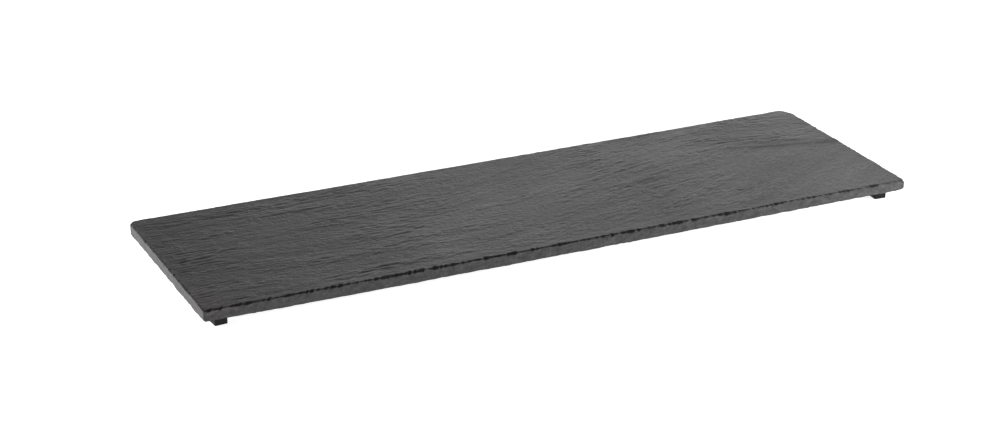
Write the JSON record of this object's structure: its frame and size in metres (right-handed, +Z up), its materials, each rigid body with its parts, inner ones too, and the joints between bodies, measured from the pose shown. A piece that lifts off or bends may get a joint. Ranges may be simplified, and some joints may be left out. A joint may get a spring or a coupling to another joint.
{
  "type": "slate slab",
  "caption": "Long thin rectangular slab of riven dark grey slate with dressed edges, raised on small square rubber feet, for serving or display.",
  "frame": {"origin": "on the surface that the feet stand on, under the middle of the slab", "axes": "+X along the slab's length, +Y across its width towards the back, +Z up"},
  "size_m": [0.53, 0.162, 0.0155],
  "materials": {
    "slate": "riven natural cleft, matt with a faint sheen at grazing angles",
    "rubber_foot": "matt moulded black rubber"
  },
  "bodies": {
    "root": {"slate_slab": "slate", "foot_front_left": "rubber_foot", "foot_front_right": "rubber_foot", "foot_back_left": "rubber_foot", "foot_back_right": "rubber_foot"}
  },
  "joints": []
}
